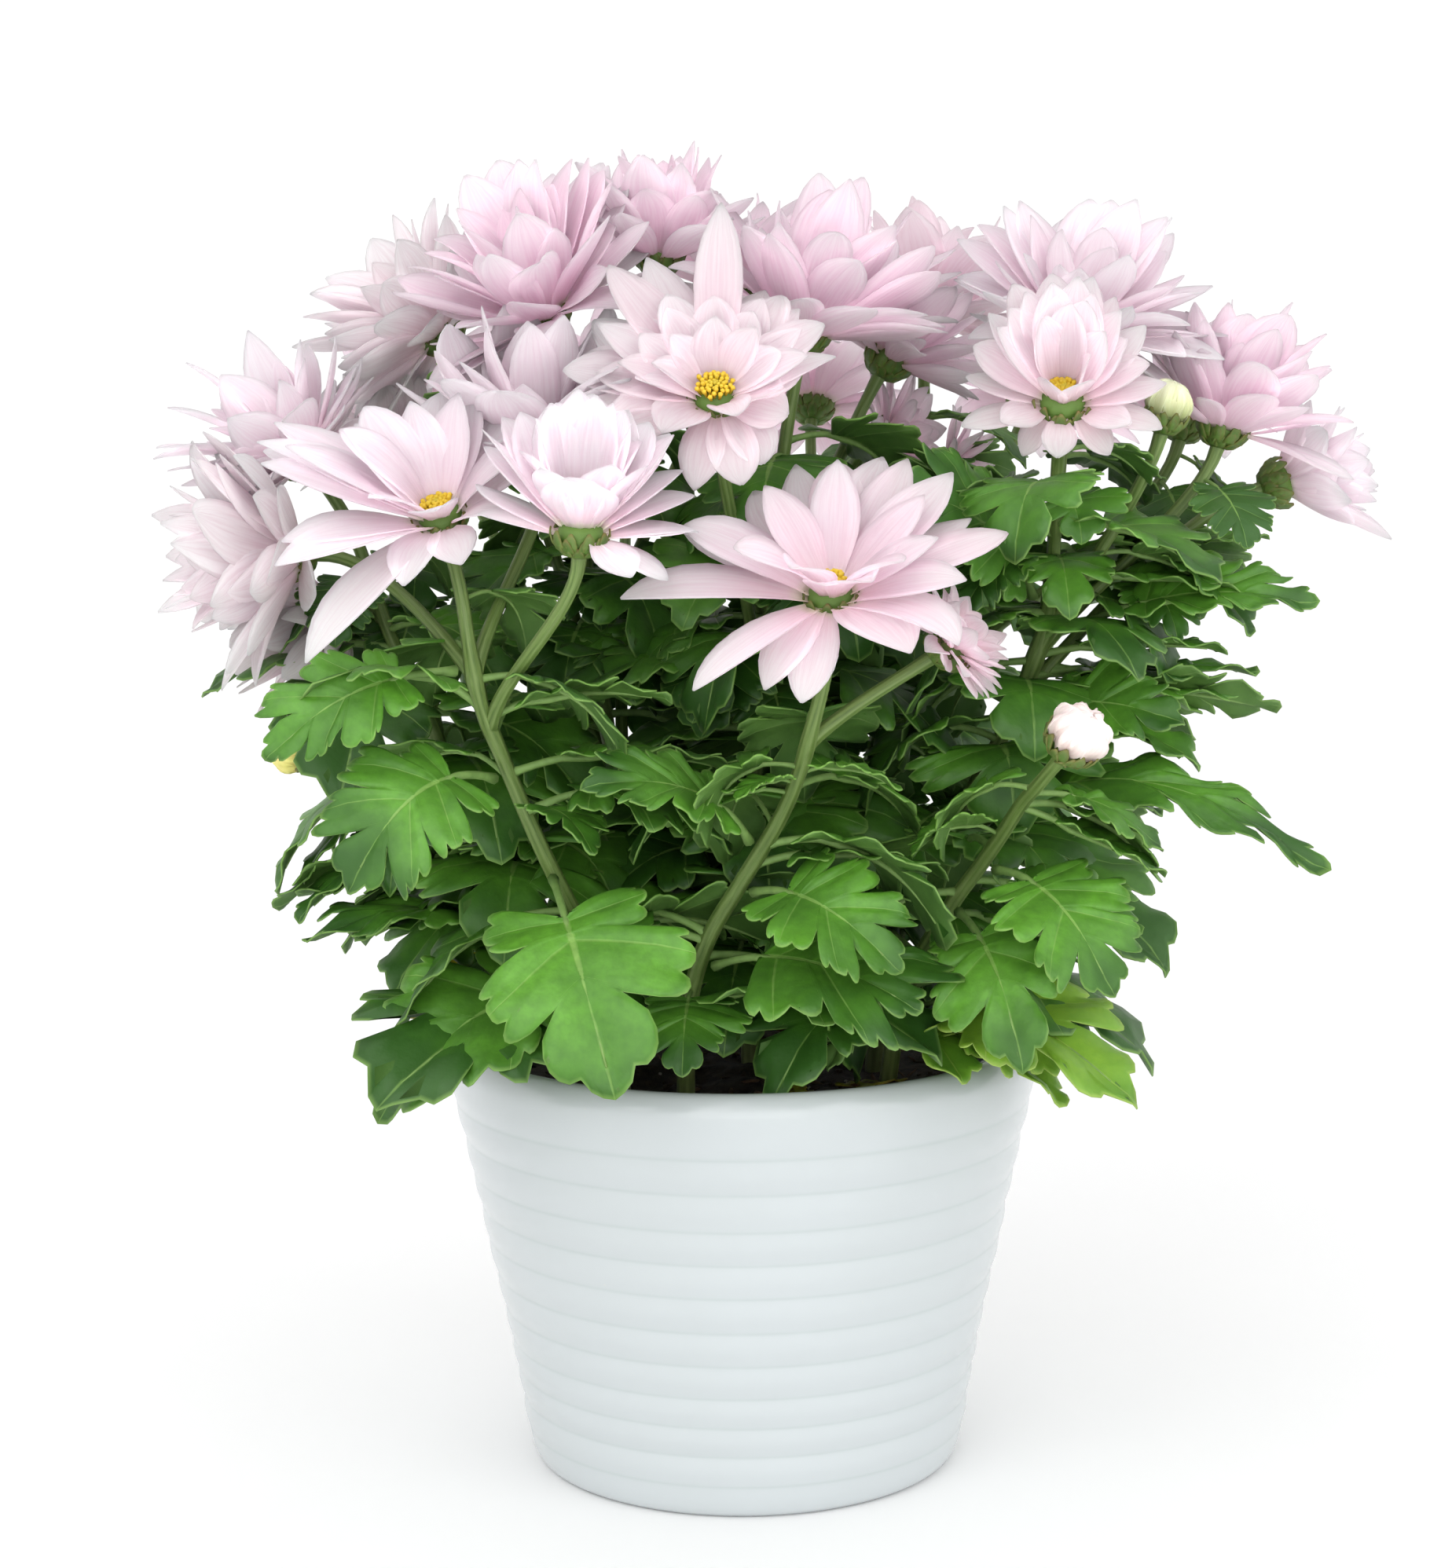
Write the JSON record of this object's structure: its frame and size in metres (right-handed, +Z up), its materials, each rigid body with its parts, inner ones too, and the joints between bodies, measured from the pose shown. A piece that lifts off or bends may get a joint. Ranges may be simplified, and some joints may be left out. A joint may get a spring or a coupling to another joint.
{
  "type": "potted chrysanthemum",
  "caption": "Potted chrysanthemum: branching shoots with pale pink flower heads, buds and lobed leaves, in a soil-filled nursery pot that stands in a ribbed white cachepot.",
  "frame": {"origin": "centre of the cachepot's flat base, on the surface it stands on", "axes": "+Z up; the plant's front, with its fullest side of flowers, faces -Y; +X is to its right seen from the front"},
  "size_m": [0.2957, 0.2641, 0.3331],
  "materials": {
    "glazed_white": "gloss",
    "nursery_plastic": "satin",
    "soil": "matte",
    "stem_green": "satin",
    "petal_pink": "matte",
    "bud_pale": "matte",
    "leaf_green": "matte"
  },
  "bodies": {
    "root": {"cachepot": "glazed_white", "nursery_pot": "nursery_plastic", "potting_soil": "soil", "bud_green": "bud_pale", "bud_pink": "bud_pale", "bud_yellow": "bud_pale", "flower_back_left": "petal_pink", "flower_back_mid": "petal_pink", "flower_back_mid_left": "petal_pink", "flower_back_right": "petal_pink", "flower_centre": "petal_pink", "flower_crown_back": "petal_pink", "flower_crown_left": "petal_pink", "flower_crown_right": "petal_pink", "flower_crown_right_back": "petal_pink", "flower_crown_right_low": "petal_pink", "flower_crown_top": "petal_pink", "flower_front_left": "petal_pink", "flower_front_left_inner": "petal_pink", "flower_front_low": "petal_pink", "flower_front_small": "petal_pink", "flower_inner_right": "petal_pink", "flower_inner_right_low": "petal_pink", "flower_left_crown": "petal_pink", "flower_left_front": "petal_pink", "flower_left_inner": "petal_pink", "flower_left_low": "petal_pink", "flower_left_outer": "petal_pink", "flower_left_side": "petal_pink", "flower_right_crown": "petal_pink", "flower_right_front": "petal_pink", "flower_right_inner": "petal_pink", "flower_right_outer": "petal_pink", "flower_right_side": "petal_pink", "leaf_back_left": "leaf_green", "leaf_back_low": "leaf_green", "leaf_back_right": "leaf_green", "leaf_centre": "leaf_green", "leaf_front": "leaf_green", "leaf_front_broad": "leaf_green", "leaf_front_right": "leaf_green", "leaf_left_arched": "leaf_green", "leaf_left_hanging": "leaf_green", "leaf_left_low": "leaf_green", "leaf_left_upper": "leaf_green", "leaf_right_crown": "leaf_green", "leaf_right_hanging": "leaf_green", "leaf_right_lobed": "leaf_green", "leaf_right_long": "leaf_green", "leaf_right_low": "leaf_green", "leaf_right_upper": "leaf_green", "leaf_right_yellow": "leaf_green", "stem_back_left": "stem_green", "stem_back_right": "stem_green", "stem_centre": "stem_green", "stem_centre_front": "stem_green", "stem_left": "stem_green", "stem_left_front": "stem_green", "stem_right": "stem_green", "stem_right_low": "stem_green"}
  },
  "joints": []
}
